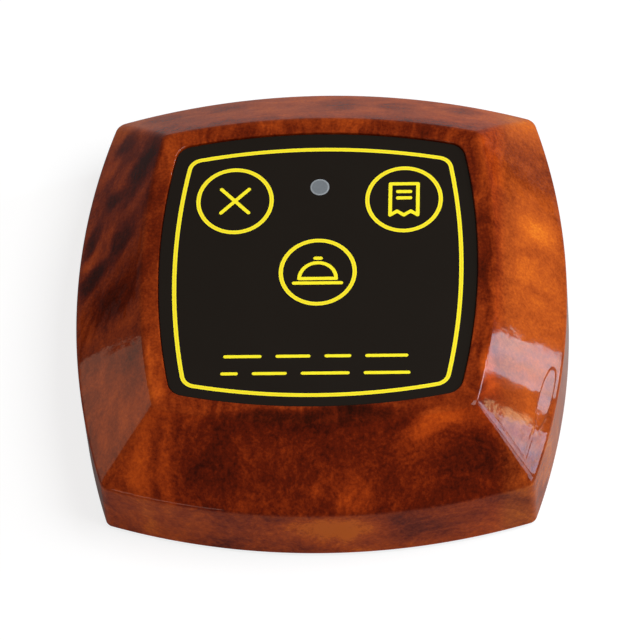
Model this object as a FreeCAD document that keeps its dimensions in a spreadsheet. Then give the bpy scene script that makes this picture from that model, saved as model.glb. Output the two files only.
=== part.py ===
import FreeCAD, Part
import Sketcher
import math
import operator
import os

# A table-top call button: a square housing with bulged sides, a printed film with three press
# points in the recess of its top, and a radio board with a battery inside.  Millimetres, +Z up.
# The origin is under the middle of the housing, on the surface that its rubber feet stand on.

doc = FreeCAD.newDocument("call_button")

# ---------------------------------------------------------------------------------------------
# Driving dimensions
# ---------------------------------------------------------------------------------------------

DIMENSIONS = {
    # housing, outside
    "case_width": 86.0,            # between the middles of opposite sides, at the lower edge
    "side_arc": 120.0,             # radius of each bulged side
    "case_corner": 3.0,
    "skirt_draft": 0.1,            # how far the skirt leans in up to the crease
    "slope_height": 11.4,
    "top_width": 61.2,             # between the middles of the top edges, before rounding
    "top_arc": 120.0,
    "top_corner": 2.0,
    "rim_chamfer": 0.9,
    "crease_chamfer": 0.4,
    # housing, inside
    "wall": 2.2,
    "top_wall": 2.4,               # from the rim down to the ceiling
    "inner_corner": 0.8,
    "lip": 1.1,                    # wall that is left beside the base cover
    "case_boss_radius": 3.25,
    "rib_thickness": 1.2,
    "rib_rise": 1.0,               # gap from the boss foot to the foot of its ribs
    "stop_width": 2.4,             # square posts that the circuit board rests against
    "stop_gap": 0.55,              # from the side keys to these posts
    "hook_width": 5.0,
    "hook_thickness": 1.2,
    "hook_catch": 0.7,             # how far each hook reaches under the board
    "hook_depth": 1.4,             # height of the catch below the board
    "hook_play": 0.15,
    "pilot_play": 0.05,            # radial, round every screw
    "pilot_spare": 1.0,            # depth of each pilot hole past its screw
    # base cover and feet
    "case_gap": 1.0,               # from the table to the housing's lower edge
    "lid_thickness": 2.0,
    "lid_clearance": 0.15,
    "nest_gap": 0.6,               # from each locating rib to the wall behind its middle
    "nest_thickness": 1.2,
    "nest_length": 20.0,
    "nest_height": 2.5,
    "screw_pad_width": 8.5,
    "screw_pad_height": 2.2,
    "foot_spacing": 42.0,
    "foot_width": 8.0,
    # case screws
    "case_screw_radius": 1.45,
    "case_screw_length": 9.5,
    "case_head_radius": 2.8,
    "case_head_height": 2.0,
    "head_room": 0.2,              # below the head, and twice as much around it
    # film, adhesive and window
    "rim_width": 3.05,             # from the mid edge of the film to the top edge, before rounding
    "film_arc": 112.0,
    "film_corner": 3.0,
    "film_thickness": 0.25,
    "film_clearance": 0.15,
    "recess_depth": 0.8,
    "recess_chamfer": 0.3,
    "adhesive_thickness": 0.15,
    "adhesive_margin": 0.4,
    "adhesive_opening": 12.2,      # side of the square cut-out round each key
    "window_opening": 4.4,         # and of the one for the light
    "window_radius": 1.7,
    "window_play": 0.02,
    # press points
    "call_key_back": -0.75,
    "side_key_side": 14.75,
    "side_key_back": 13.9,
    "crown_radius": 4.8,
    "crown_gap": 0.3,              # radial, to the hole in the housing
    "crown_play": 0.05,            # below the film
    "flange_width": 12.4,
    "flange_thickness": 1.0,
    "flange_play": 0.1,            # below the ceiling
    # tactile switches
    "switch_width": 6.0,
    "switch_height": 5.0,
    "switch_base_height": 3.15,
    "plate_thickness": 0.25,
    "chamber_wall": 0.6,
    "chamber_depth": 1.75,
    "snap_play": 0.2,              # beside the snap spring
    "snap_width": 3.2,
    "snap_flat": 1.6,              # part of the spring under the plunger
    "snap_height": 0.45,
    "snap_thickness": 0.1,
    "post_radius": 1.7,
    "post_gap": 0.15,              # radial, to the hole in the plate
    "collar_side_play": 0.4,
    "collar_play": 0.1,
    "collar_gap": 0.05,            # above the snap spring
    "leg_back": 2.25,
    "leg_rise": 1.0,               # up the side of the switch
    "leg_width": 0.7,
    "leg_thickness": 0.3,
    # circuit board and what it carries
    "board_corner": 3.0,
    "board_gap": 1.55,             # from each corner to the case boss beside it
    "board_thickness": 1.6,
    "lead_reach": 1.3,             # leads and legs past the underside of the board
    "lead_hole": 1.0,              # side of each square hole
    "aerial_margin": 1.1,          # from the edge of the board
    "aerial_width": 1.1,
    "aerial_clearance": 0.9,       # from the posts
    "aerial_gap": 6.0,
    "copper": 0.05,
    "light_back": 16.6,
    "light_radius": 1.5,
    "light_flange": 1.9,
    "light_flange_height": 1.0,
    "light_length": 5.3,
    "light_drop": 0.3,             # from the recess floor down to the tip of the light
    "light_gap": 0.25,             # radial, in the hole in the housing
    "light_pitch": 2.54,
    "light_lead": 0.5,
    "chip_side": -6.5,
    "chip_back": 8.5,
    "chip_length": 4.9,
    "chip_width": 3.9,
    "chip_height": 1.5,
    "chip_leg_pitch": 1.27,
    "chip_leg_width": 0.4,
    "chip_leg_thickness": 0.2,
    "chip_leg_bend": 0.35,         # from the chip's side out to the bend
    "chip_leg_reach": 1.05,
    "chip_stand_off": 0.1,
    "resonator_side": 4.0,
    "resonator_back": 9.5,
    "resonator_width": 5.0,
    "resonator_height": 1.4,
    "transistor_side": 12.5,
    "transistor_back": 3.5,
    "transistor_length": 2.9,
    "transistor_width": 1.3,
    "transistor_height": 1.1,
    "small_part_length": 2.0,
    "small_part_width": 1.25,
    "small_part_height": 0.6,
    "small_part_pitch": 2.6,
    "small_part_gap": 1.0,         # from the battery holder to the first of each column
    "resistor_side": -16.0,
    "capacitor_side": 8.0,
    # battery and its holder
    "battery_back": -13.0,
    "battery_shift": -0.75,        # of the cell's middle, towards its positive end
    "battery_radius": 5.15,
    "battery_length": 28.5,
    "battery_room": 0.7,           # down to the base cover
    "nipple_radius": 2.4,
    "nipple_length": 1.0,
    "holder_floor": 1.2,
    "holder_wall": 1.0,
    "holder_play": 0.2,            # beside the cell
    "holder_height": 8.5,
    "cell_play": 0.1,              # above and below the cell
    "thumb_radius": 5.0,
    "contact_thickness": 0.3,
    "contact_width": 7.0,
    "contact_tail": 0.8,
    "spring_length": 2.5,
    "spring_width": 5.0,
    "spring_flat": 2.0,            # part of the leaf that bears on the cell
    "spring_thickness": 0.25,
    "cell_rib_spacing": 16.0,
    "cell_rib_length": 8.0,
}

CHIP_LEG_PAIRS = 4
RESISTORS = 4
CAPACITORS = 3

sheet = doc.addObject("Spreadsheet::Sheet", "Sizes")
for row, (name, value) in enumerate(DIMENSIONS.items(), 1):
    sheet.set(f"A{row}", name)
    sheet.set(f"B{row}", str(value))
    sheet.setAlias(f"B{row}", name)
doc.recompute()

SIGNS = {"+": operator.add, "-": operator.sub, "*": operator.mul, "/": operator.truediv}


class Size:
    """A value worked out from the sheet: its present number, and the text that binds it."""

    def __init__(self, number, text):
        self.number = float(number)
        self.text = text

    def __add__(self, other):
        return joined(self, "+", other)

    def __radd__(self, other):
        return joined(other, "+", self)

    def __sub__(self, other):
        return joined(self, "-", other)

    def __rsub__(self, other):
        return joined(other, "-", self)

    def __mul__(self, other):
        return joined(self, "*", other)

    def __rmul__(self, other):
        return joined(other, "*", self)

    def __truediv__(self, other):
        return joined(self, "/", other)

    def __neg__(self):
        return joined(0, "-", self)

    def root(self):
        return Size(math.sqrt(self.number), f"sqrt({self.text})")


def size(value):
    return value if isinstance(value, Size) else Size(value, f"({value})")


def joined(left, sign, right):
    left, right = size(left), size(right)
    return Size(SIGNS[sign](left.number, right.number), f"({left.text} {sign} {right.text})")


class Dimensions:
    """The cells of the sheet, by name."""

    def __getattr__(self, name):
        return Size(sheet.get(name), f"{sheet.Name}.{name}")


d = Dimensions()

# ---------------------------------------------------------------------------------------------
# Drawing and modelling helpers
# ---------------------------------------------------------------------------------------------


def bind(thing, path, value):
    thing.setExpression(path, size(value).text)


def place(thing, x=0, y=0, z=0):
    for axis, value in (("x", x), ("y", y), ("z", z)):
        bind(thing, f"Placement.Base.{axis}", value)


def new_body(label, x=0, y=0, z=0):
    body = doc.addObject("PartDesign::Body", label)
    body.Label = label
    place(body, x, y, z)
    return body


def origin_part(body, role):
    return next(part for part in body.Origin.OriginFeatures if part.Role == role)


def sketch(body, z=0, plane="XY_Plane", shift=0):
    """A sketch in a body: z lifts it off its plane, and shift moves it along its own x."""
    drawing = body.newObject("Sketcher::SketchObject", "Sketch")
    drawing.AttachmentSupport = [(origin_part(body, plane), "")]
    drawing.MapMode = "FlatFace"
    bind(drawing, "AttachmentOffset.Base.z", z)
    bind(drawing, "AttachmentOffset.Base.x", shift)
    return drawing


def dimension(drawing, kind, *points, value):
    """A dimension of a sketch, bound to the sheet."""
    index = drawing.addConstraint(Sketcher.Constraint(kind, *points, value.number))
    name = f"{kind}_{index}"
    drawing.renameConstraint(index, name)
    bind(drawing, f"Constraints.{name}", value)


def circle(drawing, x, y, radius):
    x, y, radius = size(x), size(y), size(radius)
    centre = FreeCAD.Vector(x.number, y.number, 0)
    edge = drawing.addGeometry(Part.Circle(centre, FreeCAD.Vector(0, 0, 1), radius.number))
    dimension(drawing, "DistanceX", -1, 1, edge, 3, value=x)
    dimension(drawing, "DistanceY", -1, 1, edge, 3, value=y)
    dimension(drawing, "Radius", edge, value=radius)


def polygon(drawing, points):
    """A closed outline of straight lines, each of its points bound to the sheet."""
    points = [(size(x), size(y)) for x, y in points]
    spots = [FreeCAD.Vector(x.number, y.number, 0) for x, y in points]
    lines = [drawing.addGeometry(Part.LineSegment(spot, spots[(index + 1) % len(spots)]))
             for index, spot in enumerate(spots)]
    for index, line in enumerate(lines):
        following = lines[(index + 1) % len(lines)]
        drawing.addConstraint(Sketcher.Constraint("Coincident", line, 2, following, 1))
    for line, (x, y) in zip(lines, points):
        dimension(drawing, "DistanceX", -1, 1, line, 1, value=x)
        dimension(drawing, "DistanceY", -1, 1, line, 1, value=y)


def rectangle(drawing, x, y, width, depth):
    """A rectangle about its middle."""
    left, right = x - width / 2, x + width / 2
    front, back = y - depth / 2, y + depth / 2
    polygon(drawing, [(left, front), (right, front), (right, back), (left, back)])


def bulged_square(drawing, outline):
    """Four bulged sides joined by tangent corners, from (half width at mid side, arc, corner)."""
    middle, arc, corner = outline
    back = middle - arc
    reach = arc.number - corner.number
    turn_x = (back.number + math.sqrt(2 * reach ** 2 - back.number ** 2)) / 2
    spread = math.atan2(turn_x, turn_x - back.number)
    up = FreeCAD.Vector(0, 0, 1)
    sides, corners = [], []
    for quarter in range(4):
        start = quarter * math.pi / 2
        turned_by = FreeCAD.Rotation(up, math.degrees(start))
        side_centre = turned_by.multVec(FreeCAD.Vector(back.number, 0, 0))
        side = Part.ArcOfCircle(Part.Circle(side_centre, up, arc.number), start - spread, start + spread)
        sides.append(drawing.addGeometry(side))
        turn_centre = turned_by.multVec(FreeCAD.Vector(turn_x, turn_x, 0))
        turn = Part.ArcOfCircle(Part.Circle(turn_centre, up, corner.number),
                                start + spread, start + math.pi / 2 - spread)
        corners.append(drawing.addGeometry(turn))
    for quarter in range(4):
        following = sides[(quarter + 1) % 4]
        drawing.addConstraint(Sketcher.Constraint("Tangent", sides[quarter], 2, corners[quarter], 1))
        drawing.addConstraint(Sketcher.Constraint("Tangent", corners[quarter], 2, following, 1))
    for quarter, side in enumerate(sides):
        own_axis, kind = (-1, "DistanceX") if quarter % 2 == 0 else (-2, "DistanceY")
        drawing.addConstraint(Sketcher.Constraint("PointOnObject", side, 3, own_axis))
        ends = (side, 3, -1, 1) if quarter < 2 else (-1, 1, side, 3)
        dimension(drawing, kind, *ends, value=arc - middle)
    dimension(drawing, "Radius", sides[0], value=arc)
    dimension(drawing, "Radius", corners[0], value=corner)
    for quarter in (1, 2, 3):
        drawing.addConstraint(Sketcher.Constraint("Equal", sides[0], sides[quarter]))
        drawing.addConstraint(Sketcher.Constraint("Equal", corners[0], corners[quarter]))


def inset(outline, amount, corner=None):
    """A bulged outline moved inwards, with a corner radius of its own where one is given."""
    middle, arc, turn = outline
    return middle - amount, arc - amount, turn - amount if corner is None else corner


def between(low, high, share):
    """The outline at a share of the way from one outline to another."""
    return tuple(start + (end - start) * share for start, end in zip(low, high))


def four(spacing):
    """The corners of a square of that spacing about the middle."""
    half = spacing / 2
    return [(half, half), (-half, half), (-half, -half), (half, -half)]


def circles(drawing, places, radius):
    for x, y in places:
        circle(drawing, x, y, radius)


def squares(drawing, places, width):
    for x, y in places:
        rectangle(drawing, size(x), size(y), width, width)


def pad(body, drawing, length):
    feature = body.newObject("PartDesign::Pad", "Pad")
    feature.Profile = drawing
    bind(feature, "Length", length)
    return feature


def pocket(body, drawing, depth, upward=False):
    """A pocket that cuts down from its sketch, or up from it."""
    feature = body.newObject("PartDesign::Pocket", "Pocket")
    feature.Profile = drawing
    feature.Reversed = upward
    bind(feature, "Length", depth)
    return feature


def dress(body, kind, amount, chosen):
    """A Fillet or Chamfer on the edges of the body so far that a test picks out."""
    doc.recompute()
    last = body.Tip
    names = [f"Edge{number}" for number, edge in enumerate(last.Shape.Edges, 1) if chosen(edge)]
    feature = body.newObject(f"PartDesign::{kind}", kind)
    feature.Base = (last, names)
    bind(feature, "Radius" if kind == "Fillet" else "Size", amount)
    return feature


def upright(edge):
    """A test for straight upright edges."""
    return edge.BoundBox.XLength < 1e-4 and edge.BoundBox.YLength < 1e-4


def turned(label, points, x=0, y=0, z=0, about="Z_Axis"):
    """A body turned from an outline in the XZ plane about its own upright or level axis."""
    body = new_body(label, x, y, z)
    drawing = sketch(body, plane="XZ_Plane")
    polygon(drawing, points)
    feature = body.newObject("PartDesign::Revolution", "Revolution")
    feature.Profile = drawing
    feature.ReferenceAxis = (origin_part(body, about), [""])
    feature.Angle = 360
    return body


def block(label, x, y, z, width, depth, height):
    """A plain block that stands on z, about the middle x and y."""
    body = new_body(label)
    drawing = sketch(body, z)
    rectangle(drawing, x, y, width, depth)
    pad(body, drawing, height)
    return body


def copies(label, piece, places):
    """One node of separate solids: a piece made at the origin, put at each place."""
    links = []
    for x, y in places:
        link = doc.addObject("App::Link", "Link")
        link.LinkedObject = piece
        place(link, x, y)
        links.append(link)
    group = doc.addObject("Part::Compound", label)
    group.Label = label
    group.Links = links
    return group


# ---------------------------------------------------------------------------------------------
# Levels, outlines and places that several pieces share
# ---------------------------------------------------------------------------------------------

lid_z = d.case_gap + d.lid_thickness                # top of the base cover's plate
screw_pad_z = lid_z + d.screw_pad_height            # where the case bosses stand
head_z = d.case_gap + d.head_room + d.case_head_height    # seat of the case screws' heads
cell_z = lid_z + d.battery_room + d.battery_radius  # axis of the battery
cell_roof_z = cell_z + d.battery_radius + d.cell_play
under_z = cell_roof_z + d.holder_floor              # underside of the circuit board
holder_z = under_z - d.holder_height
lead_z = under_z - d.lead_reach                     # ends of the leads under the board
board_z = under_z + d.board_thickness               # top of the circuit board
plate_z = board_z + d.switch_base_height            # underside of the switches' metal plates
chamber_z = plate_z - d.chamber_depth               # floor of the switches' chambers
key_z = board_z + d.switch_height                   # foot of the keys, on the switches
ceiling_z = key_z + d.flange_thickness + d.flange_play
rim_z = ceiling_z + d.top_wall
crease_z = rim_z - d.slope_height                   # top of the skirt
recess_z = rim_z - d.recess_depth                   # floor of the film's recess
film_z = recess_z + d.adhesive_thickness            # underside of the film
light_tip_z = recess_z - d.light_drop
light_z = light_tip_z - d.light_length

case_low = (d.case_width / 2, d.side_arc, d.case_corner)
case_crease = inset(case_low, d.skirt_draft)
case_top = (d.top_width / 2, d.top_arc, d.top_corner)
slope_run = case_crease[0] - case_top[0]
slope_length = (slope_run * slope_run + d.slope_height * d.slope_height).root()
hollow_edge = inset(case_crease, d.wall, d.inner_corner)
lid_seat = inset(case_low, d.lip, d.inner_corner + d.wall - d.lip)
lid_edge = inset(lid_seat, d.lid_clearance)
film_edge = (d.top_width / 2 - d.rim_width, d.film_arc, d.film_corner)

KEYS = {
    "call": (0, d.call_key_back),
    "cancel": (-d.side_key_side, d.side_key_back),
    "check": (d.side_key_side, d.side_key_back),
}
key_places = list(KEYS.values())
light_place = (0, d.light_back)
foot_places = four(d.foot_spacing)

stop_out = d.side_key_side + d.flange_width / 2 + d.stop_gap + d.stop_width / 2
aerial_in = stop_out + d.stop_width / 2 + d.aerial_clearance    # inner edge of the aerial
board_half = aerial_in + d.aerial_width + d.aerial_margin
corner_gap = d.board_corner + d.board_gap + d.case_boss_radius
boss_out = board_half - d.board_corner + corner_gap / size(2).root()
case_screw_places = four(2 * boss_out)

chamber_width = d.switch_width - 2 * d.chamber_wall

plus_x = d.battery_shift - d.battery_length / 2     # tip of the cell's positive nipple
minus_x = d.battery_shift + d.battery_length / 2
spring_x = minus_x + d.spring_length                # face of the negative contact
plus_tail_x = plus_x - d.contact_thickness / 2
minus_tail_x = spring_x + d.contact_thickness / 2
tail_places = [(plus_tail_x, d.battery_back), (minus_tail_x, d.battery_back)]
holder_back = d.battery_back + d.battery_radius + d.holder_play + d.holder_wall

# ---------------------------------------------------------------------------------------------
# Top cover
# ---------------------------------------------------------------------------------------------


def loft(label, sections):
    """A closed form with straight flanks through bulged outlines at given heights."""
    drawings = []
    for z, outline in sections:
        drawing = doc.addObject("Sketcher::SketchObject", "Section")
        place(drawing, z=z)
        bulged_square(drawing, outline)
        drawings.append(drawing)
    form = doc.addObject("Part::Loft", label)
    form.Sections = drawings
    form.Solid = True
    form.Ruled = True
    return form


def cover_outside():
    """The skirt and the sloped flanks, with a narrow chamfer along the crease and the rim."""
    crease_share = d.crease_chamfer / slope_length
    rim_share = d.rim_chamfer / slope_length
    return loft("cover_outside", [
        (d.case_gap, case_low),
        (crease_z - d.crease_chamfer, case_crease),
        (crease_z + d.slope_height * crease_share, between(case_crease, case_top, crease_share)),
        (rim_z - d.slope_height * rim_share, between(case_top, case_crease, rim_share)),
        (rim_z, inset(case_top, d.rim_chamfer)),
    ])


def cover_hollow():
    """The room inside, where four turned forms overlap, one for each bulged side.

    The flanks keep the wall and the roof keeps the top wall.
    """
    bend_z = crease_z - d.wall * (slope_length - d.slope_height) / slope_run
    roof_half = case_top[0] - (d.wall * slope_length - d.top_wall * slope_run) / d.slope_height
    middle, arc, _ = hollow_edge
    axis_back = arc - middle
    outline = [(0, d.case_gap), (arc, d.case_gap), (arc, bend_z),
               (roof_half + axis_back, ceiling_z), (0, ceiling_z)]
    forms = []
    for x, y in ((-1, 0), (0, -1), (1, 0), (0, 1)):
        forms.append(turned("cover_flank", outline, x * axis_back, y * axis_back))
    room = doc.addObject("Part::MultiCommon", "cover_hollow")
    room.Shapes = forms
    return room


def cover_bosses():
    """What stands in the room: corner bosses tied to the walls by ribs, posts and snap hooks."""
    body = new_body("cover_bosses")
    case_bosses = sketch(body, screw_pad_z)
    circles(case_bosses, case_screw_places, d.case_boss_radius)
    pad(body, case_bosses, rim_z - screw_pad_z)

    rib_z = screw_pad_z + d.rib_rise
    ribs = sketch(body, rib_z)
    near, far = boss_out - d.rib_thickness / 2, boss_out + d.rib_thickness / 2
    outer = d.case_width / 2
    ell = [(near, near), (outer, near), (outer, far), (far, far), (far, outer), (near, outer)]
    for across in (1, -1):
        for along in (1, -1):
            polygon(ribs, [(across * x, along * y) for x, y in ell])
    pad(body, ribs, rim_z - rib_z)

    stops = sketch(body, board_z)
    squares(stops, four(2 * stop_out), d.stop_width)
    pad(body, stops, rim_z - board_z)

    face = board_half + d.hook_play
    catch_z = under_z - d.hook_play
    hook = [(face, rim_z), (face, catch_z), (face - d.hook_catch, catch_z),
            (face, catch_z - d.hook_depth), (face + d.hook_thickness, catch_z - d.hook_depth),
            (face + d.hook_thickness, rim_z)]
    for plane in ("XZ_Plane", "YZ_Plane"):
        hooks = sketch(body, -d.hook_width / 2, plane)
        for side in (1, -1):
            polygon(hooks, [(side * out, z) for out, z in hook])
        pad(body, hooks, d.hook_width)
    return body


def cut(label, base, tool):
    result = doc.addObject("Part::Cut", label)
    result.Base = base
    result.Tool = tool
    return result


def film_recess():
    """The recess for the film, with a chamfer round its edge."""
    edge = inset(film_edge, -d.film_clearance)
    return loft("film_recess", [(recess_z, edge), (rim_z - d.recess_chamfer, edge),
                                (rim_z, inset(edge, -d.recess_chamfer))])


def make_top_cover():
    room = cut("cover_room", cover_hollow(), cover_bosses())
    shell = cut("cover_shell", cover_outside(), room)
    body = new_body("top_cover")
    body.BaseFeature = cut("cover_with_recess", shell, film_recess())

    seat = sketch(body, d.case_gap)
    bulged_square(seat, lid_seat)
    pocket(body, seat, d.lid_thickness, upward=True)

    holes = sketch(body, rim_z)
    circles(holes, key_places, d.crown_radius + d.crown_gap)
    circle(holes, *light_place, d.light_radius + d.light_gap)
    pocket(body, holes, d.top_wall + d.flange_play)

    case_pilots = sketch(body, screw_pad_z)
    circles(case_pilots, case_screw_places, d.case_screw_radius + d.pilot_play)
    pocket(body, case_pilots, head_z + d.case_screw_length + d.pilot_spare - screw_pad_z, upward=True)

    return body


# ---------------------------------------------------------------------------------------------
# Base cover, feet and screws
# ---------------------------------------------------------------------------------------------


def make_base_cover():
    body = new_body("base_cover")
    plate = sketch(body, d.case_gap)
    bulged_square(plate, lid_edge)
    pad(body, plate, d.lid_thickness)

    nest = sketch(body, lid_z)
    out = hollow_edge[0] - d.nest_gap - d.nest_thickness / 2
    for side in (1, -1):
        rectangle(nest, side * out, size(0), d.nest_thickness, d.nest_length)
        rectangle(nest, size(0), side * out, d.nest_length, d.nest_thickness)
    pad(body, nest, d.nest_height)

    screw_pads = sketch(body, lid_z)
    squares(screw_pads, case_screw_places, d.screw_pad_width)
    pad(body, screw_pads, d.screw_pad_height)

    cell_ribs = sketch(body, lid_z)
    for side in (1, -1):
        x = d.battery_shift + side * d.cell_rib_spacing / 2
        rectangle(cell_ribs, x, d.battery_back, d.rib_thickness, d.cell_rib_length)
    pad(body, cell_ribs, cell_z - d.battery_radius - d.cell_play - lid_z)

    counterbores = sketch(body, d.case_gap)
    circles(counterbores, case_screw_places, d.case_head_radius + 2 * d.head_room)
    pocket(body, counterbores, head_z - d.case_gap, upward=True)

    holes = sketch(body, d.case_gap)
    circles(holes, case_screw_places, d.case_screw_radius + d.head_room)
    pocket(body, holes, d.lid_thickness + d.screw_pad_height, upward=True)
    return body


def make_rubber_feet():
    foot = block("rubber_foot", size(0), size(0), size(0), d.foot_width, d.foot_width, d.case_gap)
    return copies("rubber_feet", foot, foot_places)


def make_case_screws():
    """Screws that point up, with their heads in the counterbores of the base cover."""
    bottom, tip = head_z - d.case_head_height, head_z + d.case_screw_length
    head, shank = d.case_head_radius, d.case_screw_radius
    screw = turned("case_screw", [(0, bottom), (head, bottom), (head, head_z), (shank, head_z),
                                  (shank, tip), (0, tip)])
    return copies("case_screws", screw, case_screw_places)


# ---------------------------------------------------------------------------------------------
# Film, adhesive and window
# ---------------------------------------------------------------------------------------------


def make_overlay_adhesive():
    body = new_body("overlay_adhesive")
    drawing = sketch(body, recess_z)
    bulged_square(drawing, inset(film_edge, d.adhesive_margin))
    squares(drawing, key_places, d.adhesive_opening)
    squares(drawing, [light_place], d.window_opening)
    pad(body, drawing, d.adhesive_thickness)
    return body


def make_graphic_overlay():
    body = new_body("graphic_overlay")
    drawing = sketch(body, film_z)
    bulged_square(drawing, film_edge)
    circle(drawing, *light_place, d.window_radius + d.window_play)
    pad(body, drawing, d.film_thickness)
    return body


def make_led_window():
    body = new_body("led_window")
    drawing = sketch(body, film_z)
    circle(drawing, *light_place, d.window_radius)
    pad(body, drawing, d.film_thickness)
    return body


# ---------------------------------------------------------------------------------------------
# Keys and tactile switches
# ---------------------------------------------------------------------------------------------


def make_key(label, x, y):
    """A key: its round crown fills the hole in the cover, and its square flange holds it there."""
    body = block(label, size(x), size(y), key_z, d.flange_width, d.flange_width, d.flange_thickness)
    crown = sketch(body, key_z)
    circle(crown, x, y, d.crown_radius)
    pad(body, crown, film_z - d.crown_play - key_z)
    return body


def make_switch_base(label, x, y):
    body = block(label, size(x), size(y), board_z, d.switch_width, d.switch_width, d.switch_base_height)
    chamber = sketch(body, plate_z)
    squares(chamber, [(x, y)], chamber_width)
    pocket(body, chamber, d.chamber_depth)
    return body


def make_switch_plate(label, x, y):
    body = new_body(label)
    drawing = sketch(body, plate_z)
    squares(drawing, [(x, y)], d.switch_width)
    circle(drawing, x, y, d.post_radius + d.post_gap)
    pad(body, drawing, d.plate_thickness)
    return body


def make_switch_dome(label, x, y):
    """The snap spring that clicks, a bowed strip on the floor of the chamber."""
    body = new_body(label)
    drawing = sketch(body, -(y + d.snap_width / 2), "XZ_Plane", x)
    foot, skin = chamber_z, d.snap_thickness
    reach, flat, top = chamber_width / 2 - d.snap_play, d.snap_flat / 2, foot + d.snap_height
    polygon(drawing, [(-reach, foot), (-flat, top - skin), (flat, top - skin), (reach, foot),
                      (reach, foot + skin), (flat, top), (-flat, top), (-reach, foot + skin)])
    pad(body, drawing, d.snap_width)
    return body


def make_switch_stem(label, x, y):
    """The plunger: a collar held under the metal plate, and a post that meets the key."""
    foot = chamber_z + d.snap_height + d.collar_gap
    width = chamber_width - 2 * d.collar_side_play
    body = block(label, size(x), size(y), foot, width, width, plate_z - d.collar_play - foot)
    post = sketch(body, foot)
    circle(post, x, y, d.post_radius)
    pad(body, post, key_z - foot)
    return body


def leg_places(x, y):
    """The four legs of a switch, flat against the sides of its base."""
    across = (d.switch_width + d.leg_thickness) / 2
    return [(x + side * across, y + end * d.leg_back) for side in (1, -1) for end in (1, -1)]


def make_switch_legs(label, x, y):
    body = new_body(label)
    drawing = sketch(body, lead_z)
    for leg_x, leg_y in leg_places(x, y):
        rectangle(drawing, leg_x, leg_y, d.leg_thickness, d.leg_width)
    pad(body, drawing, board_z + d.leg_rise - lead_z)
    return body


# ---------------------------------------------------------------------------------------------
# Circuit board and what it carries
# ---------------------------------------------------------------------------------------------


def light_lead_places():
    x, y = light_place
    return [(x + side * d.light_pitch / 2, y) for side in (1, -1)]


def make_circuit_board():
    width = 2 * board_half
    body = block("circuit_board", size(0), size(0), under_z, width, width, d.board_thickness)
    dress(body, "Fillet", d.board_corner, upright)
    lead_holes = sketch(body, board_z)
    holes = light_lead_places() + tail_places
    for x, y in key_places:
        holes += leg_places(x, y)
    squares(lead_holes, holes, d.lead_hole)
    pocket(body, lead_holes, d.board_thickness)
    return body


def make_antenna_track():
    """A copper loop round the edge of the board, open at the front."""
    body = new_body("antenna_track")
    drawing = sketch(body, board_z)
    inner, outer = aerial_in, aerial_in + d.aerial_width
    gap = d.aerial_gap / 2
    polygon(drawing, [(gap, -outer), (outer, -outer), (outer, outer), (-outer, outer),
                      (-outer, -outer), (-gap, -outer), (-gap, -inner), (-inner, -inner),
                      (-inner, inner), (inner, inner), (inner, -inner), (gap, -inner)])
    pad(body, drawing, d.copper)
    return body


def make_led_lens():
    x, y = light_place
    flange_top = light_z + d.light_flange_height
    return turned("led_lens", [(0, light_z), (d.light_flange, light_z), (d.light_flange, flange_top),
                               (d.light_radius, flange_top), (d.light_radius, light_tip_z),
                               (0, light_tip_z)], x, y)


def make_led_leads():
    body = new_body("led_leads")
    drawing = sketch(body, lead_z)
    squares(drawing, light_lead_places(), d.light_lead)
    pad(body, drawing, light_z - lead_z)
    return body


def make_encoder_chip():
    foot = under_z - d.chip_stand_off - d.chip_height
    return block("encoder_chip", d.chip_side, d.chip_back, foot, d.chip_length, d.chip_width, d.chip_height)


def make_encoder_legs():
    """Pairs of gull-wing legs, from the sides of the chip to the underside of the board."""
    pair = new_body("encoder_leg_pair")
    drawing = sketch(pair, plane="YZ_Plane", z=-d.chip_leg_width / 2)
    half, skin = d.chip_width / 2, d.chip_leg_thickness
    shoulder = under_z - d.chip_stand_off - d.chip_height / 2
    bend, toe = half + d.chip_leg_bend, half + d.chip_leg_reach
    for side in (1, -1):
        outline = [(half, shoulder), (bend, shoulder), (bend, under_z), (toe, under_z),
                   (toe, under_z - skin), (bend + skin, under_z - skin),
                   (bend + skin, shoulder - skin), (half, shoulder - skin)]
        polygon(drawing, [(side * y, z) for y, z in outline])
    pad(pair, drawing, d.chip_leg_width)
    steps = [step - (CHIP_LEG_PAIRS - 1) / 2 for step in range(CHIP_LEG_PAIRS)]
    places = [(d.chip_side + step * d.chip_leg_pitch, d.chip_back) for step in steps]
    return copies("encoder_legs", pair, places)


def make_saw_resonator():
    return block("saw_resonator", d.resonator_side, d.resonator_back, under_z - d.resonator_height,
                 d.resonator_width, d.resonator_width, d.resonator_height)


def make_rf_transistor():
    return block("rf_transistor", d.transistor_side, d.transistor_back, under_z - d.transistor_height,
                 d.transistor_length, d.transistor_width, d.transistor_height)


def make_small_parts(label, x, count):
    """A column of chip components under the board, from the battery holder towards the back."""
    body = new_body(label)
    drawing = sketch(body, under_z - d.small_part_height)
    first = holder_back + d.small_part_gap + d.small_part_width / 2
    for step in range(count):
        rectangle(drawing, x, first + step * d.small_part_pitch, d.small_part_length, d.small_part_width)
    pad(body, drawing, d.small_part_height)
    return body


# ---------------------------------------------------------------------------------------------
# Battery and its holder
# ---------------------------------------------------------------------------------------------


def make_battery():
    """The cell lies along X, with its nipple towards -X."""
    half = d.battery_length / 2
    shoulder = d.nipple_length - half
    return turned("battery", [(-half, 0), (-half, d.nipple_radius), (shoulder, d.nipple_radius),
                              (shoulder, d.battery_radius), (half, d.battery_radius), (half, 0)],
                  d.battery_shift, d.battery_back, cell_z, about="X_Axis")


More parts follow.
